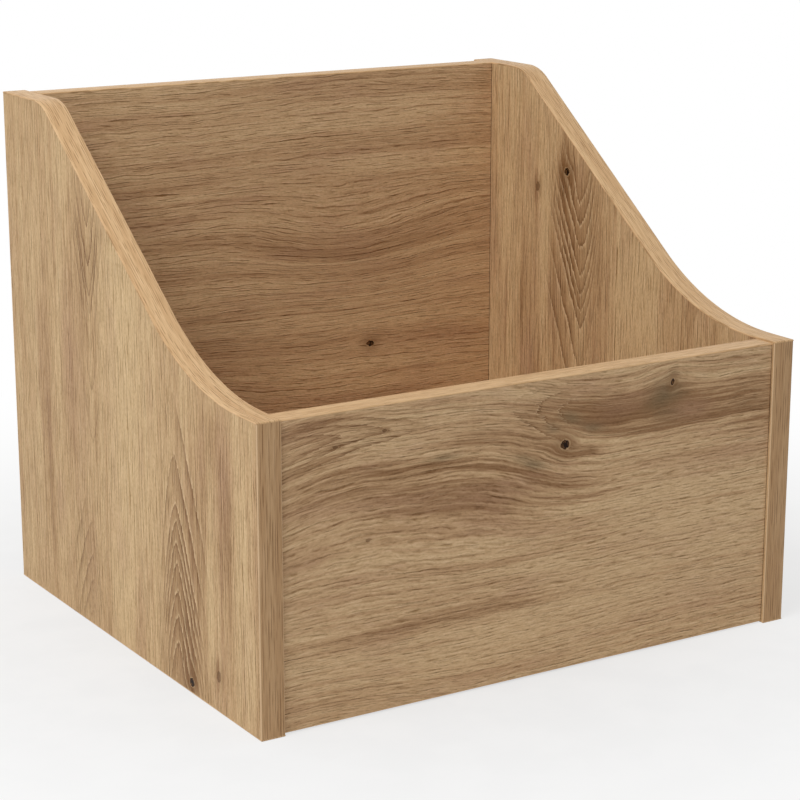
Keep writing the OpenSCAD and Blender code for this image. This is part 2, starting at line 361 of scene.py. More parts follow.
@dataclass(frozen=True)
class Arches:
    """Nested growth rings that come to a point along the board, in millimetres.

    Each ring has its tip on the axis, a light rim outside, a dark edge inside and a brown fill behind
    that. Its two arms, on the low and the high side of the axis, lie 10 mm behind the tip where they
    are one reach away from the axis, and fall behind further with the power of their bend.
    """

    axis: float
    tips: tuple[float, ...]
    reach: tuple[float, float]
    bend: tuple[float, float]
    rim: float
    edge: float
    fill: float
    shown: tuple[Spot, ...]
    fray: float = 6.0
    rim_l: float = 2.0
    edge_l: float = 5.0
    points_up: bool = True

    def moved(self, along: float, across: float) -> "Arches":
        """Give the rings in another place."""
        return replace(
            self,
            axis=self.axis + across,
            tips=tuple(tip + along for tip in self.tips),
            shown=tuple(spot.moved(along, across) for spot in self.shown),
        )

    def draw(self, recipe: Recipe, colour: Wire, point: Wire, a: Wire, flow: Wire) -> Wire:
        """Draw the rings over a colour.

        Args:
            recipe: The material under way.
            colour: The colour below.
            point: Place on the face.
            a: Place along the grain, with the noise that frays the rings.
            flow: Place across the grain, with its wander.

        Returns:
            The colour with the rings.
        """
        away = flow - self.axis
        low, high = (
            (away * (side / reach)).most(0.0) ** bend
            for side, reach, bend in zip((-1.0, 1.0), self.reach, self.bend)
        )
        fall = (low + high) * 10.0
        up = 1.0 if self.points_up else -1.0
        tip = a * up + fall
        inside: Wire | float = FAR
        outside: Wire | float = FAR
        for place in self.tips:
            behind = place * up - tip
            before = tip - place * up
            inside = behind.most(before * FAR).least(inside)
            outside = before.most(behind * FAR).least(outside)
        stretch = fall.ease(0.0, 25.0, 1.0, 2.6)
        shown = recipe.spots(point, self.shown)
        colour = recipe.blend(colour, BROWN, inside.ease(26.0, 0.0) * shown * self.fill)
        edge = (inside / stretch).ease(self.edge_l, 0.2)
        rim = (outside / stretch).ease(self.rim_l, 0.3)
        colour = recipe.blend(colour, UMBER, edge * shown * self.edge)
        return recipe.blend(colour, GLINT, rim * shown * self.rim)


@dataclass(frozen=True, kw_only=True)
class Figure:
    """What one face of oak decor shows, all in millimetres along and across the grain."""

    brown: tuple[Spot, ...]
    knots: tuple[Spot, ...]
    swells: tuple[Spot, ...] = ()
    pale: tuple[Spot, ...] = ()
    rose: tuple[Spot, ...] = ()
    moss: tuple[Spot, ...] = ()
    calm: tuple[Spot, ...] = ()
    arches: tuple[Arches, ...] = ()
    wander: float
    ripple: float
    bands: float = 0.3
    band: tuple[float, float] = (200.0, 3.4)
    streaks: float
    thread: tuple[float, float]
    threads: float
    thread_w: float = 0.7
    dash: tuple[float, float]
    dashes: float
    speckle: float
    # Share of the painted tint of the shade
    shade_tint_share: float = 0.0

    def moved(self, along: float, across: float) -> "Figure":
        """Give the figure as it shows on a board cut from another part of the decor."""
        parts = ("swells", "brown", "pale", "rose", "moss", "knots", "arches", "calm")
        return replace(
            self,
            **{part: tuple(item.moved(along, across) for item in getattr(self, part)) for part in parts},
        )


@dataclass(frozen=True)
class OakDecor:
    """Printed oak on chipboard: paper on the two broad faces and bare chips everywhere else."""

    name: str
    board: str
    grain: Grain
    figure: Figure
    seed: float
    show_side: int = 1
    # Painted shade in the joints at the board's ends: its share, and how far inside the end it begins and
    # ends, in millimetres
    joint_shade: float = 0.0
    joint_shade_at: tuple[float, float] = (0.9, 0.2)
    paper: float = 0.2
    relief: float = 0.32
    gloss: float = 0.12

    def material(self) -> Material:
        """Build the finish of this board.

        Returns:
            The material, with its decor placed on the board's show face and turned round on the other.
        """
        recipe = finish_recipe(self.name)
        low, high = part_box(self.board)
        position = recipe.place()
        parts = dict(zip("XYZ", recipe.split(position)))
        middle = {axis: MM * (low[i] + high[i]) / 2 for i, axis in enumerate("XYZ")}
        half = {axis: MM * (high[i] - low[i]) / 2 for i, axis in enumerate("XYZ")}
        along, across, through = self.grain.value
        offset = parts[through] - middle[through]
        shown = (offset * self.show_side).over(0.0)
        turn = shown * 2.0 - 1.0
        a = (parts[along] - middle[along]) * turn + middle[along]
        c = (parts[across] - middle[across]) * turn + middle[across]
        colour, rough, height = self.oak(recipe, a, c, shown * FACE_STEP + self.seed)
        chips, chip_rough, chip_height = self.chipboard(recipe, position)
        skin = abs(offset).over(half[through] - self.paper)
        if self.joint_shade:
            inner, outer = self.joint_shade_at
            # Painted shade where the board's ends meet the sides
            ends = abs(parts[along] - middle[along]).ease(half[along] - inner, half[along] - outer)
            colour = recipe.blend(colour, JOINT_SHADE, ends * self.joint_shade)
        return recipe.surface(
            recipe.blend(chips, colour, skin),
            (rough - chip_rough) * skin + chip_rough,
            recipe.groove((height - chip_height) * skin + chip_height, self.relief),
            gloss=self.gloss,
        )

    def oak(self, recipe: Recipe, a: Wire, c: Wire, layer: Wire) -> tuple[Wire, Wire, Wire]:
        """Draw the decor.

        Args:
            recipe: The material under way.
            a: Place along the grain.
            c: Place across the grain.
            layer: Number of the face.

        Returns:
            Colour, roughness and height of the decor.
        """
        figure = self.figure
        point = recipe.join(a, c, layer)
        roll = recipe.grain(point, (230.0, 80.0, 1.0), 1.0) - 0.5
        curl = recipe.grain(point, (24.0, 7.0, 1.0), 2.0) - 0.5
        flow = c + roll * figure.wander + curl * figure.ripple - recipe.spots(point, figure.swells)
        for knot in figure.knots:
            reach = recipe.spot(point, knot.grown(*PARTED))
            flow = flow - (c - knot.across) * reach * (0.65 * knot.strength)
        lane = recipe.join(a, flow, layer)

        broad = recipe.grain(lane, (520.0, 22.0, 1.0), 2.0, 0.55)
        band = recipe.grain(lane, (*figure.band, 1.0), 2.0, 0.7)
        dash = recipe.grain(lane, (*figure.dash, 1.0), 1.0, 0.5)
        pore = recipe.grain(lane, (2.4, 0.7, 1.0), 1.0, 0.5)
        patch = recipe.grain(lane, (26.0, 5.0, 1.0), 1.0, 0.5)
        mist = recipe.grain(point, (90.0, 26.0, 1.0), 3.0, 0.6)

        tone = (
            broad.ease(0.36, 0.66) * figure.bands
            + (band - 0.5) * figure.streaks
            + recipe.spots(lane, figure.brown) * band.ease(0.34, 0.62, 0.65, 1.2)
            - recipe.spots(lane, figure.pale)
            + (mist - 0.5) * 0.5
        )
        colour = recipe.blend(PALE, MIDDLE, tone.ease(-0.25, 0.45))
        colour = recipe.blend(colour, BROWN, tone.ease(0.2, 1.15))
        colour = recipe.blend(colour, UMBER, tone.ease(1.0, 2.4) * 0.7)
        rose = mist.ease(0.48, 0.7) * 0.25 + recipe.spots(point, figure.rose)
        colour = recipe.blend(colour, ROSE, rose)
        if figure.moss:
            colour = recipe.blend(colour, MOSS, recipe.spots(lane, figure.moss) * mist.ease(0.3, 0.55))
        for arches in figure.arches:
            blur = (mist - 0.5) * 12.0 + (patch - 0.5) * 5.0 + (dash - 0.5) * arches.fray
            colour = arches.draw(recipe, colour, point, a + blur, flow)

        lively = 1.0 - recipe.spots(point, figure.calm)
        dark, light = self.threads(recipe, a, flow + (patch - 0.5) * 2.8 + (broad - 0.5) * 9.0, layer)
        lines = dark * lively
        pits = pore.ease(0.5, 0.72)
        broken = dash.ease(0.5, 0.76) * figure.dashes * lively
        shadow = lines * figure.threads + broken + pits * figure.speckle
        # Painted highlights beside the pressed lines, and light flecks in the dashes and pores
        highlight_and_fleck = light * figure.threads * 0.6 + dash.ease(0.5, 0.24) * figure.dashes
        sheen = highlight_and_fleck * lively + pore.ease(0.5, 0.28) * figure.speckle
        colour = recipe.toned(colour, shadow, sheen)
        height = 1.0 - lines * 0.7 - pits * 0.15
        for knot in figure.knots:
            halo = recipe.spot(point, knot.grown(*HALO))
            colour = recipe.blend(colour, UMBER, halo * 0.6 * knot.strength)
            whole = recipe.spot(point, knot)
            ragged = (whole + (pore - 0.5) * 0.9) * whole.ease(0.0, 0.08)
            colour = recipe.blend(colour, MIDDLE, ragged.ease(0.02, 0.14) * 0.6 * knot.strength)
            core = ragged.ease(0.2, 0.36) * min(1.0, knot.strength * 1.5)
            heart = recipe.blend(UMBER, HEART, knot.strength - pore.ease(0.5, 0.64) * 0.6)
            colour = recipe.blend(colour, heart, core)
            height = height - core * 0.8
        # Painted tint of the warmer light in the shade
        if figure.shade_tint_share:
            colour = recipe.blend(colour, recipe.times(colour, SHADE_TINT), figure.shade_tint_share)
        return colour, 0.5 + lines * 0.15 + pits * 0.1, height

    def threads(self, recipe: Recipe, a: Wire, flow: Wire, layer: Wire) -> tuple[Wire, Wire]:
        """Draw the fine broken lines that are pressed into the paper along the grain.

        Args:
            recipe: The material under way.
            a: Place along the grain.
            flow: Place across the grain, with its wander.
            layer: Number of the face.

        Returns:
            The dark lines and the painted highlights on their low side, each 0 to 1.
        """
        length, gap = self.figure.thread

        def lines(size: float) -> tuple[Wire, Wire]:
            """Draw the lines of one size, each broken by a noise of its own."""
            return recipe.strokes(
                flow,
                gap * size,
                self.figure.thread_w,
                lambda row: recipe.grain(
                    recipe.join(a, row, layer + size * 9.0), (length * size, 1.0, 1.0), 1.0
                ),
            )

        dark, light = zip(*map(lines, THREAD_SIZES))
        return sum(dark), sum(light)

    def chipboard(self, recipe: Recipe, position: Wire) -> tuple[Wire, Wire, Wire]:
        """Draw bare chipboard: pressed chips of many tints.

        Args:
            recipe: The material under way.
            position: Place on the object.

        Returns:
            Colour, roughness and height of the chips.
        """
        scaled = recipe.times(position, (0.5, 0.6, 0.5))
        inputs = {"Vector": scaled, "Scale": 1.0}
        cell = recipe.node("TexVoronoi", {"feature": "F1"}, inputs, "Color")
        tint = recipe.split(cell)[0]
        dust = recipe.grain(position, (0.8, 0.8, 0.8), 2.0, 0.6)
        colour = recipe.blend(recipe.blend(*CHIPS, tint), DUST, dust.ease(0.58, 0.72))
        return colour, 0.85 + dust * 0.1, dust + tint * 0.5


@dataclass(frozen=True)
class OakBand:
    """Plastic edge band with fine oak streaks printed along it, across one of the axes 0, 1 and 2."""

    name: str
    across: int
    seed: float
    # Painted shade: a factor on the colours, below 1 for the bands that face the front
    light: Colour = WHITE
    gap: float = 1.3
    length: float = 11.0
    # Painted highlight along the band's rounded corners, and the middle of the band across, in millimetres
    painted_corner_highlight: Colour | None = None
    middle: float = 177.5

    def tint(self, red: int, green: int, blue: int) -> Colour:
        """Give a screen colour times this band's painted shade."""
        parts = shade(red, green, blue)
        return (parts[0] * self.light[0], parts[1] * self.light[1], parts[2] * self.light[2])

    def stretched(self, across: float, along: float) -> tuple[float, ...]:
        """Give a cell with one size across the band and another one along it."""
        return tuple(across if axis == self.across else along for axis in range(3))

    def material(self) -> Material:
        """Build the finish: streaks, short dark dashes with painted highlights beside them, a soft sheen
        and any painted corner highlight.

        Returns:
            The material.
        """
        recipe = finish_recipe(self.name)
        place = recipe.place()
        point = recipe.node("VectorMath", {"operation": "ADD"}, {0: place, 1: (self.seed,) * 3})
        wide = recipe.grain(point, self.stretched(3.4, 70.0), 1.0)
        fine = recipe.grain(point, self.stretched(0.7, 12.0), 1.0)

        def cut(row: Wire) -> Wire:
            """Break the dashes of one row."""
            parts = [row if i == self.across else part for i, part in enumerate(recipe.split(point))]
            return recipe.grain(recipe.join(*parts), self.stretched(1.0, self.length), 1.0)

        across = recipe.split(point)[self.across] + (wide - 0.5) * 1.6 + (fine - 0.5) * 0.5
        dark, light = recipe.strokes(across, self.gap, self.gap * 0.38, cut)
        colour = recipe.blend(self.tint(222, 184, 137), self.tint(212, 172, 125), wide.ease(0.36, 0.64))
        shadow = dark * 0.66 + fine.ease(0.5, 0.74) * 0.3
        # Painted highlights beside the dashes, and light flecks
        colour = recipe.toned(colour, shadow, light * 0.25 + fine.ease(0.48, 0.3) * 0.3)
        # Painted highlight along the band's rounded corner
        if self.painted_corner_highlight:
            off = abs(abs(recipe.split(place)[self.across]) - self.middle)
            colour = recipe.blend(colour, self.painted_corner_highlight, off.ease(6.7, 7.3) * 0.85)
        return recipe.surface(
            colour,
            0.46 + fine * 0.12,
            recipe.groove(1.0 - dark * 0.7 - fine.ease(0.5, 0.7) * 0.3, 0.08),
            gloss=0.3,
        )


@dataclass(frozen=True, kw_only=True)
class Clouded:
    """A finish in two clouded tints, with flecks of a third one that stand out or are sunk in.

    Each of the noises is given by the size of its cells in millimetres, its detail and its roughness.
    The flecks are given by the two noises between which they fade in, and by their share, and the
    roughness by its least value and by what the cloud and the flecks' noise add.
    """

    name: str
    tints: tuple[Colour, Colour, Colour]
    cloud: tuple[Sequence[float], float, float]
    grit: tuple[Sequence[float], float, float]
    flecks: tuple[float, float, float]
    rough: tuple[float, float, float]
    depth: float
    sunk: bool = False
    metal: float = 0.0

    def material(self) -> Material:
        """Build the finish.

        Returns:
            The material.
        """
        recipe = finish_recipe(self.name)
        place = recipe.place()
        cloud = recipe.grain(place, *self.cloud)
        grit = recipe.grain(place, *self.grit)
        low, high, share = self.flecks
        least, by_cloud, by_grit = self.rough
        colour = recipe.blend(self.tints[0], self.tints[1], cloud.ease(0.35, 0.65))
        colour = recipe.blend(colour, self.tints[2], grit.ease(low, high) * share)
        normal = recipe.groove(1.0 - grit if self.sunk else grit, self.depth)
        rough = cloud * by_cloud + grit * by_grit + least
        return recipe.surface(colour, rough, normal, metal=self.metal)


def beech(name: str, cells: tuple[float, float, float]) -> Clouded:
    """Give the raw beech of dowels that lie along X or Y, from the size of its flecks."""
    return Clouded(
        name=name,
        tints=(shade(222, 189, 147), shade(196, 157, 116), shade(158, 116, 80)),
        cloud=(tuple(cell * 3.0 for cell in cells), 3.0, 0.6),
        grit=(cells, 1.0, 0.5),
        flecks=(0.6, 0.7, 0.7),
        rough=(0.6, 0.0, 0.2),
        depth=0.08,
        sunk=True,
    )


# Die-cast zinc of the cam locks: dull grey with a cloudy skin
CAST_ZINC = Clouded(
    name="lock_zinc",
    tints=(shade(168, 170, 172), shade(132, 134, 137), shade(112, 112, 112)),
    cloud=((3.2, 3.2, 3.2), 3.0, 0.6),
    grit=((0.35, 0.35, 0.35), 2.0, 0.6),
    flecks=(0.6, 0.75, 0.5),
    rough=(0.4, 0.25, 0.0),
    depth=0.05,
    metal=1.0,
)
# Bright zinc-plated steel of the cam bolts, with turning marks round them
PLATED_STEEL = Clouded(
    name="bolt_steel",
    tints=(shade(196, 197, 196), shade(168, 168, 164), shade(140, 140, 138)),
    cloud=((2.5, 2.5, 2.5), 3.0, 0.55),
    grit=((0.25, 4.0, 4.0), 2.0, 0.6),
    flecks=(0.55, 0.7, 0.6),
    rough=(0.22, 0.0, 0.2),
    depth=0.03,
    metal=1.0,
)
# Moulded plastic of the lock caps, in the tan of the decor, with a fine spark texture
CAP_PLASTIC = Clouded(
    name="cap_plastic",
    tints=(shade(201, 168, 124), shade(188, 153, 110), shade(172, 138, 98)),
    cloud=((6.0, 6.0, 6.0), 2.0, 0.5),
    grit=((0.3, 0.3, 0.3), 2.0, 0.6),
    flecks=(0.56, 0.7, 0.5),
    rough=(0.42, 0.0, 0.14),
    depth=0.04,
)


# ---------- Meshes ----------

# Edges sharper than this stay sharp
SMOOTH_BELOW = math.radians(40)


def stand(name: str, data: bpy.types.ID) -> bpy.types.Object:
    """Put something into the scene as an object.

    Args:
        name: Name of the object.
        data: Its mesh, lamp or camera.

    Returns:
        The new object.
    """
    item = bpy.data.objects.new(name, data)
    bpy.context.scene.collection.objects.link(item)
    return item


def dress(piece: bpy.types.Object, material: Material) -> None:
    """Give a piece one finish in place of any that it has."""
    piece.data.materials.clear()
    piece.data.materials.append(material)


def add_piece(name: str, mesh: bmesh.types.BMesh, material: Material) -> bpy.types.Object:
    """Turn a bmesh into a smooth-shaded piece with a finish.

    Args:
        name: Name of the piece.
        mesh: Its shape, which is freed.
        material: Its finish.

    Returns:
        The new piece.
    """
    bmesh.ops.recalc_face_normals(mesh, faces=mesh.faces)
    data = bpy.data.meshes.new(name)
    mesh.to_mesh(data)
    mesh.free()
    data.polygons.foreach_set("use_smooth", [True] * len(data.polygons))
    data.set_sharp_from_angle(angle=SMOOTH_BELOW)
    piece = stand(name, data)
    dress(piece, material)
    return piece


def bridge(mesh: bmesh.types.BMesh, rings: Sequence[Sequence[bmesh.types.BMVert]]) -> None:
    """Join closed rings of points, each to the next one, and close the first and the last.

    Args:
        mesh: The mesh that has the points.
        rings: The rings, all with the same number of points.
    """
    for first, second in zip(rings, rings[1:]):
        for i, vert in enumerate(first):
            j = (i + 1) % len(first)
            mesh.faces.new((vert, first[j], second[j], second[i]))
    mesh.faces.new(rings[0])
    mesh.faces.new(list(reversed(rings[-1])))


def quarter(radius: float, steps: int) -> list[tuple[float, float]]:
    """Give a quarter round as points, each by how far it lies inside the one side and the other."""
    angles = [math.pi / 2 * step / steps for step in range(steps + 1)]
    return [(radius * (1 - math.cos(angle)), radius * (1 - math.sin(angle))) for angle in angles]


def mount(piece: bpy.types.Object, slot: str, *nodes: str) -> None:
    """Let a piece ride on the stand and say what it is.

    Args:
        piece: The new piece.
        slot: Name of its material slot; not used.
        nodes: The CAD's nodes that it stands for.
    """
    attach(piece, BODY)
    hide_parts(*nodes)
    log.info("%s: %d faces, for %s", piece.name, len(piece.data.polygons), ", ".join(nodes))


@dataclass(frozen=True)
class Station:
    """One place along an edge: a point on the band's outer face and the way out of the board."""

    point: Vector
    out: Vector


@dataclass(frozen=True)
class EdgeStrip:
    """A glued edge band: a thin strip with rounded outer edges, laid along a board's edge."""

    name: str
    stations: tuple[Station, ...]
    width_axis: Vector
    width: float = 0.015
    thick: float = 0.001
    round_r: float = 0.0007
    glue_gap: float = 0.00012
    round_steps: int = 5
    round_ends: bool = False

    def section(self) -> list[tuple[float, float]]:
        """Give the strip's section, counted round it once.

        Returns:
            Its points, each by how far it lies across and out.
        """
        half = self.width / 2
        right = [(half - inward, -sink) for inward, sink in quarter(self.round_r, self.round_steps)]
        foot = [(half - self.glue_gap, -self.thick), (half, -self.thick + self.glue_gap)]
        side = foot + right
        return side + [(-across, out) for across, out in reversed(side)]

    def laid(self) -> list[tuple[Station, float]]:
        """Lay the stations of the strip, with rounded ends where it has them.

        Returns:
            Each station, with how far the outer face sinks there.
        """
        plain = [(station, 0.0) for station in self.stations]
        if not self.round_ends:
            return plain
        ends = []
        for end, inner in ((self.stations[0], self.stations[1]), (self.stations[-1], self.stations[-2])):
            inward = (inner.point - end.point).normalized()
            rounding = quarter(self.round_r, self.round_steps)
            ends.append([(Station(end.point + inward * shift, end.out), sink) for shift, sink in rounding])
        return ends[0] + plain[1:-1] + list(reversed(ends[1]))

    def build(self, material: Material) -> bpy.types.Object:
        """Sweep the section along the edge and close both ends.

        Args:
            material: Finish of the strip.

        Returns:
            The new piece.
        """
        mesh = bmesh.new()
        section = self.section()
        rings = []
        for station, sink in self.laid():
            point, up = station.point, station.out
            places = [point + self.width_axis * across + up * min(out, -sink) for across, out in section]
            rings.append([mesh.verts.new(place) for place in places])
        bridge(mesh, rings)
        bmesh.ops.remove_doubles(mesh, verts=mesh.verts, dist=1e-7)
        return add_piece(self.name, mesh, material)


def straight(start: Vector, end: Vector, out: Vector, pitch: float = 0.02) -> tuple[Station, ...]:
    """Lay stations from end to end of a straight edge, with steps no longer than the pitch."""
    count = max(1, math.ceil((end - start).length / pitch))
    return tuple(Station(start.lerp(end, i / count), out) for i in range(count + 1))


# ---------- Sub-assemblies ----------


@dataclass
class SideBoard:
    """One side of the stand: a decor board with a curved top edge and four glued bands."""

    side: str
    x_mid: float
    decor: OakDecor
    band: Material
    # The band for the front edges, with painted shade
    painted_shade_front_band: Material
    depth: float = 0.330
    height: float = 0.320
    front_height: float = 0.180
    top_flat: float = 0.048
    crest_r: float = 0.035
    hollow_r: float = 0.177
    front_flat: float = 0.021
    band_t: float = 0.001
    arc_step: float = math.radians(1.5)

    def at(self, y: float, z: float) -> Vector:
        """Give a point in the board's middle plane."""
        return Vector((self.x_mid, y, z))

    def curve(self) -> tuple[Station, ...]:
        """Lay stations on the top edge: level, crest, slope, hollow and level.

        Returns:
            The stations, from back to front.
        """
        half = self.depth / 2
        crest = self.at(half - self.top_flat, self.height - self.crest_r)
        hollow = self.at(-half + self.front_flat, self.front_height + self.hollow_r)
        span = crest - hollow
        slope = math.atan2(span.z, span.y) + math.asin((self.crest_r + self.hollow_r) / span.length)

        def turn(centre: Vector, radius: float, angle: float) -> Station:
            """Give the station at an angle of an arc, whose radius is below 0 where it is hollow."""
            out = Vector((0.0, -math.sin(angle), math.cos(angle)))
            return Station(centre + out * radius, out)

        up = Vector((0.0, 0.0, 1.0))
        count = math.ceil(slope / self.arc_step)
        angles = [slope * i / count for i in range(count + 1)]
        over = [turn(crest, self.crest_r, angle) for angle in angles]
        under = [turn(hollow, -self.hollow_r, angle) for angle in reversed(angles)]
        back = straight(self.at(half, self.height), over[0].point, up)
        run = straight(over[-1].point, under[0].point, over[-1].out)
        front = straight(under[-1].point, self.at(-half, self.front_height), up)
        return (*back[:-1], *over, *run[1:-1], *under, *front[1:])

    def build(self) -> None:
        """Dress the board and lay its bands."""
        dress(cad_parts[f"{self.side}_side_board"], self.decor.material())
        half, edge = self.depth / 2, self.band_t
        top, front_top = self.height - edge, self.front_height - edge
        runs = {
            "top": self.curve(),
            "front": straight(self.at(-half, edge), self.at(-half, front_top), Vector((0, -1, 0))),
            "back": straight(self.at(half, edge), self.at(half, top), Vector((0, 1, 0))),
            "bottom": straight(self.at(-half, 0), self.at(half, 0), Vector((0, 0, -1))),
        }
        for place, stations in runs.items():
            name = f"{self.side}_side_{place}_strip"
            strip = EdgeStrip(name, stations, Vector((1, 0, 0)), round_ends=place in ("top", "bottom"))
            material = self.painted_shade_front_band if place == "front" else self.band
            mount(strip.build(material), "oak_band", f"{self.side}_side_{place}_band")


@dataclass
class CrossBoard:
    """A board between the two sides, with a glued band on its upper and lower edge where it has them."""

    board: str
    decor: OakDecor
    band: Material
    banded: bool = True

    def build(self) -> None:
        """Dress the board and lay its bands."""
        dress(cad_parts[self.board], self.decor.material())
        if not self.banded:
            return
        for place, out in (("top", 1.0), ("bottom", -1.0)):
            node = f"{self.board}_{place}_band"
            low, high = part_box(node)
            y = (low.y + high.y) / 2
            z = high.z if out > 0 else low.z
            stations = straight(Vector((low.x, y, z)), Vector((high.x, y, z)), Vector((0, 0, out)))
            strip = EdgeStrip(f"{self.board}_{place}_strip", stations, Vector((0, 1, 0)))
            mount(strip.build(self.band), "oak_band", node)


@dataclass
class LockCaps:
    """The round plastic caps over the cam locks of one board."""

    node: str
    places: tuple[tuple[float, float], ...]
    face_y: float
    radius: float = 0.00875
    thick: float = 0.0008
    rim_r: float = 0.0004
    dish: float = 0.00015
    stub_l: float = 0.002
    stub_half: float = 0.0034
    stub_w: float = 0.0009
    sides: int = 64
    rim_steps: int = 5
    # The dished face, from the rim inwards: share of the radius, and share of the dish's depth
    face: tuple[tuple[float, float], ...] = ((0.80, 0.0), (0.72, 1.0), (0.35, 1.3))
    # The pry notch: its depth, half its width in sides, and the share of the radius it begins at
    notch: float = 0.0006
    notch_half: float = 2.5
    notch_from: float = 0.9

    def profile(self) -> list[tuple[float, float]]:
        """Give the cap's outline from its rim on the board to its middle, as radius and height."""
        rounding = quarter(self.rim_r, self.rim_steps)
        return [
            (self.radius, 0.0),
            *((self.radius - inward, self.thick - sink) for inward, sink in rounding),
            *((self.radius * share, self.thick - self.dish * depth) for share, depth in self.face),
        ]

    def add_cap(self, mesh: bmesh.types.BMesh, x: float, z: float) -> None:
        """Add one cap: a dished disc with a pry notch in its rim, and the cross stub behind it.

        Args:
            mesh: The mesh of the caps.
            x: Place of the cap's middle from left to right.
            z: Height of its middle.
        """
        rings = []
        for radius, rise in self.profile():
            depth = self.notch if radius > self.radius * self.notch_from else 0.0
            ring = []
            for i in range(self.sides):
                angle = 2 * math.pi * i / self.sides
                reach = radius - max(0.0, 1.0 - abs(i - self.sides * 3 / 4) / self.notch_half) * depth
                place = (x + reach * math.cos(angle), self.face_y + rise, z + reach * math.sin(angle))
                ring.append(mesh.verts.new(place))
            rings.append(ring)
        bridge(mesh, rings)
        for wide, tall in ((self.stub_half, self.stub_w), (self.stub_w, self.stub_half)):
            outline = [(x + sx * wide, z + sz * tall) for sx, sz in ((-1, -1), (1, -1), (1, 1), (-1, 1))]
            depths = (self.face_y, self.face_y - self.stub_l)
            bridge(mesh, [[mesh.verts.new((px, y, pz)) for px, pz in outline] for y in depths])

    def build(self, material: Material) -> None:
        """Build the caps as one piece and let it stand for the CAD's.

        Args:
            material: Finish of the caps.
        """
        mesh = bmesh.new()
        for x, z in self.places:
            self.add_cap(mesh, x, z)
        mount(add_piece(self.node.replace("caps", "covers"), mesh, material), "cap_plastic", self.node)


@dataclass
class Fasteners:
    """The hidden fittings, which keep their CAD shapes: cam bolts, cam locks and dowels."""

    boards: tuple[str, ...] = ("front", "back", "bottom")
    fleck: tuple[float, float] = (3.0, 0.4)

    def build(self) -> None:
        """Dress each node with its finish."""
        length, width = self.fleck
        for kind, boards, finish in (
            ("cam_bolts", self.boards, PLATED_STEEL),
            ("cam_locks", self.boards, CAST_ZINC),
            ("dowels", self.boards, beech("beech_ends", (length, width, width))),
            ("edge_dowels", ("bottom",), beech("beech_edges", (width, length, width))),
        ):
            material = finish.material()
            for board in boards:
                dress(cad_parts[f"{board}_{kind}"], material)
                log.info("%s_%s: finish %s", board, kind, material.name)


# ---------- Studio ----------


@dataclass
class Studio:
    """A white photo studio: a pale floor that keeps the shadow, a soft lamp and the camera."""

    eye: tuple[float, float, float] = (-0.7337, -1.1918, 0.4941)
    yaw: float = 31.83
    pitch: float = 14.55
    lens: float = 103.21
    sky: float = 0.45
    lamp_from: tuple[float, float, float] = (-1.45, -0.55, 2.0)
    lamp_at: tuple[float, float, float] = (0.0, 0.0, 0.15)
    lamp_size: float = 1.3
    lamp_power: float = 30.0
    floor_half: float = 6.0
    floor_steps: int = 12
    # Reach of the shadow's floor round the stand, in millimetres, and its share in the middle
    shadow_reach: float = 620.0
    shadow_share: float = 0.45

    def build(self) -> None:
        """Set up the world, the lamp, the floor and the camera."""
        bpy.context.scene.view_settings.view_transform = "Standard"
        self.light_world()
        self.hang_lamp()
        self.lay_floor()
        self.set_camera()

    def light_world(self) -> None:
        """Fill the world with even light that the camera and gloss see as white."""
        world = bpy.data.worlds.new("studio_sky")
        bpy.context.scene.world = world
        recipe = Recipe(world)
        seen = self.seen(recipe)
        strength = seen * (1.0 - self.sky) + self.sky
        sky = recipe.node("Background", None, {"Color": WHITE, "Strength": strength})
        recipe.node("OutputWorld", None, {"Surface": sky})

    @staticmethod
    def seen(recipe: Recipe) -> Wire:
        """Give 1 for rays of the camera, of gloss and of glass, else 0."""
        rays = [
            recipe.node("LightPath", None, None, f"Is {kind} Ray")
            for kind in ("Camera", "Glossy", "Transmission")
        ]
        return rays[0].most(rays[1]).most(rays[2])

    def hang_lamp(self) -> None:
        """Hang one large soft lamp up on the left, turned at the stand."""
        lamp = bpy.data.lights.new("soft_box", "AREA")
        lamp.shape = "DISK"
        lamp.size = self.lamp_size
        lamp.energy = self.lamp_power
        holder = stand("soft_box", lamp)
        holder.location = self.lamp_from
        aim = Vector(self.lamp_at) - Vector(self.lamp_from)
        holder.rotation_euler = aim.to_track_quat("-Z", "Y").to_euler()

    def lay_floor(self) -> None:
        """Lay a pale floor that turns pure white away from the stand."""
        mesh = bmesh.new()
        steps = self.floor_steps
        bmesh.ops.create_grid(mesh, x_segments=steps, y_segments=steps, size=self.floor_half)
        recipe = finish_recipe("studio_floor")
        place = recipe.place()
        speck = recipe.grain(place, (40.0, 40.0, 40.0), 3.0, 0.5)
        paint = recipe.blend(shade(222, 222, 221), shade(214, 214, 213), speck.ease(0.35, 0.65))
        matt = recipe.node("BsdfDiffuse", None, {"Color": paint})
        glow = recipe.node("Emission", None, {"Color": WHITE, "Strength": 1.0})
        away = recipe.spot(place, Spot(0.0, 0.0, self.shadow_reach, self.shadow_reach))
        white = self.seen(recipe) * (1.0 - away * self.shadow_share)
        finish = recipe.close(recipe.node("MixShader", None, {0: white, 1: matt, 2: glow}))
        add_piece("studio_floor", mesh, finish)

    def set_camera(self) -> None:
        """Stand the camera where the photograph was taken from."""
        data = bpy.data.cameras.new("camera")
        data.lens = self.lens
        camera = stand("camera", data)
        camera.location = self.eye
        camera.rotation_euler = (math.radians(90.0 - self.pitch), 0.0, math.radians(-self.yaw))
        bpy.context.scene.camera = camera


# ---------- Figures of the decor ----------

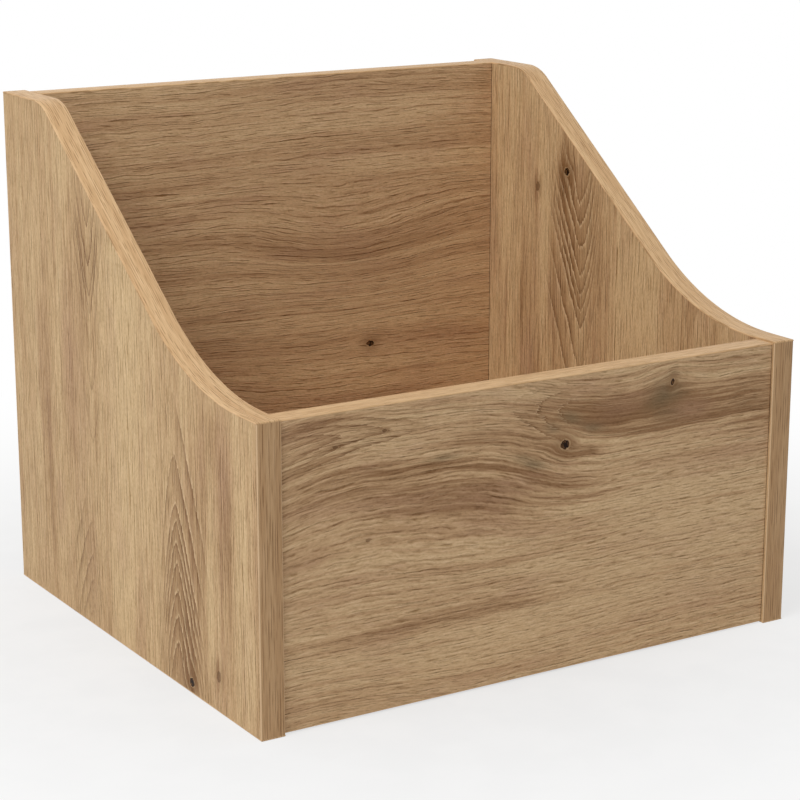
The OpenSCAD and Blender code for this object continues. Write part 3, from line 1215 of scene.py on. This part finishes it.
SIDE_FIGURE = Figure(
    arches=(
        Arches(
            axis=-66.0, tips=(175.0, 139.0, 111.0, 99.0, 87.0, 74.0, 57.0, 42.0, 27.0),
            reach=(4.9, 7.2), bend=(1.1, 1.8), rim=0.42, edge=0.36, fill=0.42, rim_l=2.9, edge_l=3.8,
            shown=ovals((85, -75, 150, 42, 1.8, -6), (20, -78, 60, 36, 0.6)),
        ),
        Arches(
            axis=45.0, tips=(252.0, 228.0, 208.0, 198.0, 176.0, 151.0, 119.0), points_up=False,
            reach=(4.8, 4.8), bend=(1.35, 1.35), rim=0.2, edge=0.5, fill=0.2, fray=4.0,
            shown=ovals((236, 45, 66, 30, 1.6), (140, 46, 52, 24, 0.7)),
        ),
        Arches(
            axis=50.0, tips=(92.0, 68.0, 46.0, 30.0, 14.0),
            reach=(3.0, 8.5), bend=(1.5, 1.3), rim=0.12, edge=0.32, fill=0.25, edge_l=4.0,
            shown=ovals((38, 60, 70, 30, 1.4)),
        ),
    ),
    brown=ovals(
        (50, -80, 140, 25, 0.5, -6), (16, -80, 40, 15, 0.55), (17, -81, 25, 8, 1.5, 4),
        (24, -115.6, 16, 2.6, 0.7), (44, -52, 84, 13, 0.2), (215, 50, 110, 22, 0.45),
        (110, 114, 190, 9, 0.35), (110, 121, 200, 2.6, 0.5), (110, -128, 80, 14, 0.5),
        (160, 78, 120, 16, 0.35), (48, 54, 90, 15, 0.2), (160, 150, 110, 10, 0.3),
        (158, -115, 34, 12, 0.5),
    ),
    pale=ovals((150, -2, 240, 36, 0.8), (45, -155, 55, 10, 0.5), (60, -106, 70, 9, 0.5)),
    rose=ovals(
        (170, 78, 70, 16, 0.45), (70, 98, 30, 12, 0.4), (150, -125, 50, 14, 0.4), (40, 52, 60, 13, 0.3)
    ),
    knots=ovals((7, -82, 4, 4.4, 1, 18), (21.5, -115.6, 5.4, 3.6, 0.45, -8)),
    wander=6.0,
    ripple=1.2,
    streaks=1.3,
    thread=(17.0, 2.1),
    threads=0.37,
    dash=(15.0, 0.85),
    dashes=0.42,
    speckle=0.26,
)

FRONT_FIGURE = Figure(
    swells=ovals(
        (-120, 150, 150, 100, 24), (-25, 150, 85, 75, 12), (94, 170, 34, 30, 4), (-150, -10, 120, 60, 14)
    ),
    brown=ovals(
        (-60, 115, 150, 6, 0.85, -2.7), (-50, 127, 48, 5, 0.6), (-70, 108, 160, 15, 0.6, -2.7),
        (-60, 97, 115, 7, 0.25, -2.6), (-155, 126, 50, 6, 0.6), (0, 128, 50, 16, 0.6),
        (100, 149, 135, 19, 1.2), (110, 137, 105, 4, 0.6), (40, 157, 60, 13, 0.7),
        (42, 147, 36, 13, 0.8), (0, 147, 32, 8, 0.3), (33, 129, 22, 6, 0.8), (12, 112, 40, 6, 0.4),
        (160, 133, 32, 5, 0.8), (35, 102, 45, 6, 0.45), (-150, 154, 40, 7, 0.6),
        (-50, 90, 110, 6, 0.3), (130, 88, 90, 5, 0.4), (120, 116, 90, 6, 0.35),
        (-70, 47, 110, 8, 0.4),
    ),
    pale=ovals(
        (-100, 133, 60, 8, 0.3), (-14, 160, 46, 7, 0.5), (10, 68, 44, 9, 0.35),
        (60, 100, 140, 12, 0.35), (120, 78, 150, 50, 0.4), (-90, 80, 120, 10, 0.4),
        (0, 20, 180, 40, 0.25),
    ),
    rose=ovals((108, 147, 26, 10, 0.4), (120, 30, 60, 20, 0.2)),
    moss=ovals(
        (-66, 119, 18, 4, 0.9), (-8, 118, 18, 5, 0.9), (8, 138, 9, 7, 0.8), (20, 147, 13, 7, 0.8),
        (90, 153, 24, 20, 0.8), (36, 142, 14, 6, 0.6), (156, 142, 20, 6, 0.8),
    ),
    knots=ovals(
        (16.7, 138, 4.6, 4.2), (94, 165, 1.9, 3.6, 0.9, -20), (-115.6, 103, 2.6, 1.6, 0.35),
        (-105, 164, 2.4, 1.3, 0.5), (-136, 159, 2.8, 1.4, 0.45),
    ),
    arches=(
        Arches(
            axis=141.0, tips=(-76.0, -104.0, -132.0),
            reach=(2.8, 4.5), bend=(1.2, 1.6), rim=0.15, edge=0.4, fill=0.4, fray=14.0, rim_l=2.4,
            shown=ovals((-125, 162, 70, 28, 1.5)),
        ),
        Arches(
            axis=150.0, tips=(14.0, -2.0, -20.0), points_up=False, reach=(11.0, 11.0), bend=(2.0, 2.0),
            rim=0.3, edge=0.5, fill=0.25, fray=11.0, rim_l=1.5, edge_l=2.4,
            shown=ovals((2, 158, 36, 24, 1.7)),
        ),
    ),
    calm=ovals((80, 150, 90, 24, 0.6), (16, 150, 34, 22, 0.4)),
    wander=9.0,
    ripple=2.4,
    band=(110.0, 2.6),
    streaks=2.2,
    thread=(10.0, 2.1),
    threads=0.36,
    dash=(10.0, 0.8),
    dashes=0.44,
    speckle=0.22,
    shade_tint_share=0.45,
)

PLAIN_FIGURE = Figure(
    swells=ovals((-60, 120, 120, 60, 14), (90, 200, 130, 50, -12)),
    brown=ovals((-40, 110, 150, 14, 0.4), (90, 230, 120, 16, 0.4)),
    knots=ovals((-70, 190, 4.4, 3.2)),
    wander=14.0,
    ripple=2.0,
    bands=0.35,
    streaks=1.8,
    thread=(12.0, 2.3),
    threads=0.42,
    dash=(12.0, 0.85),
    dashes=0.4,
    speckle=0.24,
    shade_tint_share=0.4,
)

# The middle planes of the side boards, the lines of the front and back locks, and the lock caps:
# the board, where its capped face lies, and the heights of the caps
SIDE_X = 0.1775
LOCK_X = (-0.136, 0.136)
CAPPED = (("front", -0.148, (0.090,)), ("back", 0.157, (0.0605, 0.2605)))


def main() -> None:
    """Build the stand's looks, one sub-assembly after another."""
    logging.basicConfig(level=logging.INFO, format="%(message)s")
    side_band = OakBand("oak_band_sides", 0, 11.0).material()
    cross_band = OakBand("oak_band_cross", 1, 29.0).material()
    # The bands on the sides' front edges: colours darkened by painted shade, with a painted highlight
    # along their rounded corners
    painted_shade_edge_band = OakBand(
        "oak_band_edges_painted_shade", 0, 53.0, (0.76, 0.72, 0.7), 1.7, 22.0, shade(224, 192, 152)
    ).material()
    right_figure = replace(SIDE_FIGURE.moved(58.0, 31.0), wander=9.0)
    for side, sign, figure, seed in (("left", -1, SIDE_FIGURE, 3.0), ("right", 1, right_figure, 71.0)):
        decor = OakDecor(f"oak_{side}_side", f"{side}_side_board", Grain.UPRIGHT, figure, seed, sign)
        SideBoard(side, SIDE_X * sign, decor, side_band, painted_shade_edge_band).build()
    for board, grain, figure, seed, show_side, joint_shade in (
        ("front", Grain.LEVEL, FRONT_FIGURE, 5.0, -1, 0.7),
        ("back", Grain.LEVEL, PLAIN_FIGURE, 131.0, 1, 0.7),
        ("bottom", Grain.FLAT, PLAIN_FIGURE, 191.0, 1, 0.0),
    ):
        decor = OakDecor(f"oak_{board}", f"{board}_board", grain, figure, seed, show_side, joint_shade)
        CrossBoard(f"{board}_board", decor, cross_band, banded=board != "bottom").build()
    cap_finish = CAP_PLASTIC.material()
    for board, face_y, heights in CAPPED:
        places = tuple((x, z) for x in LOCK_X for z in heights)
        LockCaps(f"{board}_cam_caps", places, face_y).build(cap_finish)
    Fasteners().build()
    Studio().build()


if __name__ == "__main__":
    main()
